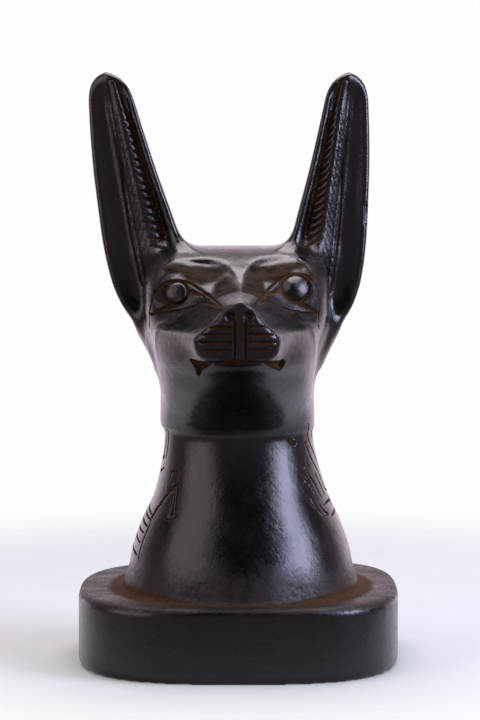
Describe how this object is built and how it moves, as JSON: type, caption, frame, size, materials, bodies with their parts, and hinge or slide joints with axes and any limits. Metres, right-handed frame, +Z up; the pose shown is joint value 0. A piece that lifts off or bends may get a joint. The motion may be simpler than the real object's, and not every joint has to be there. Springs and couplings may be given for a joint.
{
  "type": "anubis head statue",
  "caption": "Carved black stone head of a jackal with tall upright ears on a flaring neck, cut in one piece with its thick rounded-square base; stands on the flat underside as a display figure.",
  "frame": {"origin": "middle of the flat underside of the base, on the plane that the statue stands on", "axes": "+Z up along the neck to the ear tips, -Y the way the face looks, +X to the right of someone who faces the statue"},
  "size_m": [0.13, 0.1404, 0.2384],
  "materials": {
    "black_stone": "rubbed to a dull polish, with brown earth left in the cuts"
  },
  "bodies": {
    "root": {"anubis_head": "black_stone"}
  },
  "joints": []
}
